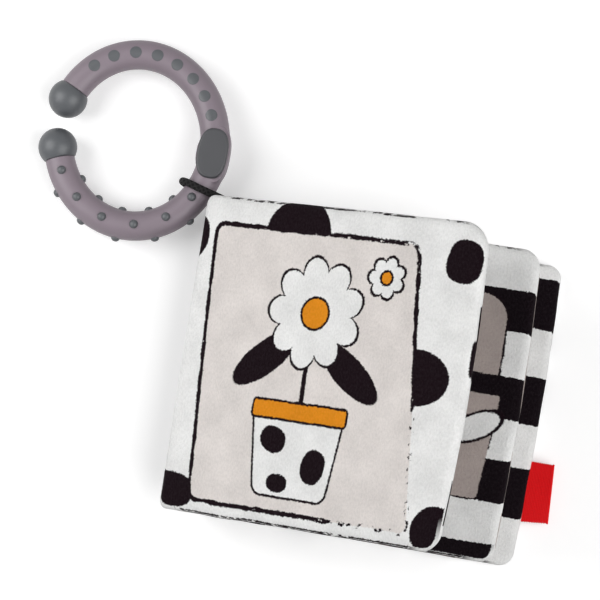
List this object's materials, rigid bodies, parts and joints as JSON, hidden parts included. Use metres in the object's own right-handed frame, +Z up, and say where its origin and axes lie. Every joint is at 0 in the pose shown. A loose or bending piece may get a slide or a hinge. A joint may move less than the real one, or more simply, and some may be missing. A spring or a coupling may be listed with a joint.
{
  "type": "cloth activity book",
  "caption": "Small padded plush book for a baby, its leaves splayed on a soft spine, with a red woven tag and an open teether ring tied to the spine by an elastic cord.",
  "frame": {"origin": "middle of the flat underside of the back leaf, on the surface that the book lies on", "axes": "+X from the spine to the fore edge, +Y to the top of the page, +Z up out of the page"},
  "size_m": [0.2348, 0.1888, 0.0981],
  "materials": {
    "plush_white": "short white plush",
    "plush_grey": "short grey plush",
    "plush_dark": "short black plush",
    "wadding": "fluffy polyester wadding",
    "rustling_foil": "thin crackling film",
    "red_ribbon": "woven satin ribbon",
    "black_elastic": "braided elastic cord",
    "mauve_plastic": "satin",
    "soft_grey_plastic": "soft satin"
  },
  "bodies": {
    "back_leaf": {"back_leaf_outer_skin": "plush_white", "back_leaf_inner_skin": "plush_white", "back_leaf_wadding": "wadding", "red_tag": "red_ribbon"},
    "lower_band": {"spine_lower_band": "plush_dark"},
    "middle_leaf": {"middle_leaf_lower_skin": "plush_grey", "middle_leaf_upper_skin": "plush_grey", "middle_leaf_lower_wadding": "wadding", "middle_leaf_upper_wadding": "wadding", "rustling_foil": "rustling_foil"},
    "upper_band": {"spine_upper_band": "plush_dark"},
    "front_cover": {"front_cover_inner_skin": "plush_white", "front_cover_outer_skin": "plush_white", "front_cover_wadding": "wadding"},
    "cord": {"elastic_cord": "black_elastic"},
    "ring": {"ring_body": "mauve_plastic", "ring_upper_ball": "soft_grey_plastic", "ring_lower_ball": "soft_grey_plastic", "ring_thumb_pad": "soft_grey_plastic", "ring_dot_1": "soft_grey_plastic", "ring_dot_2": "soft_grey_plastic", "ring_dot_3": "soft_grey_plastic", "ring_dot_4": "soft_grey_plastic", "ring_dot_5": "soft_grey_plastic", "ring_dot_6": "soft_grey_plastic", "ring_dot_7": "soft_grey_plastic", "ring_dot_8": "soft_grey_plastic", "ring_front_nub_1": "soft_grey_plastic", "ring_front_nub_2": "soft_grey_plastic", "ring_front_nub_3": "soft_grey_plastic", "ring_front_nub_4": "soft_grey_plastic", "ring_front_nub_5": "soft_grey_plastic", "ring_front_nub_6": "soft_grey_plastic", "ring_side_nub_1": "soft_grey_plastic", "ring_side_nub_2": "soft_grey_plastic", "ring_side_nub_3": "soft_grey_plastic", "ring_side_nub_4": "soft_grey_plastic", "ring_side_nub_5": "soft_grey_plastic"}
  },
  "joints": [
    {"name": "lower_band_fold", "type": "hinge", "parent": "back_leaf", "child": "lower_band", "pos_m": [-0.06713, 0, 0.004], "axis": [0, -1, 0], "range_deg": [-3.3, 2.8]},
    {"name": "middle_leaf_fold", "type": "hinge", "parent": "lower_band", "child": "middle_leaf", "pos_m": [-0.07182, 0, 0.01283], "axis": [0, -1, 0], "range_deg": [-12.9, 11], "stiffness_Nm_per_rad": 0.1, "springref_deg": 24.06},
    {"name": "upper_band_fold", "type": "hinge", "parent": "middle_leaf", "child": "upper_band", "pos_m": [-0.07182, 0, 0.01283], "axis": [0, -1, 0], "range_deg": [-1.8, 10.3]},
    {"name": "front_cover_fold", "type": "hinge", "parent": "upper_band", "child": "front_cover", "pos_m": [-0.07682, 0, 0.02149], "axis": [0, -1, 0], "range_deg": [-15.6, 92], "stiffness_Nm_per_rad": 0.04, "springref_deg": 26.36},
    {"name": "cord_swing", "type": "hinge", "parent": "back_leaf", "child": "cord", "pos_m": [-0.0664, 0.0615, 0.004], "axis": [0, 0, 1], "range_deg": [-25, 0]},
    {"name": "ring_flip", "type": "hinge", "parent": "cord", "child": "ring", "pos_m": [-0.08492, 0.06759, 0.0098], "axis": [0.4004, 0.9163, 0], "range_deg": [0, 28]}
  ],
  "couplings": [
    {"joint": "lower_band_fold", "follows": "middle_leaf_fold", "ratio": 0.25},
    {"joint": "upper_band_fold", "follows": "front_cover_fold", "ratio": 0.11111}
  ]
}
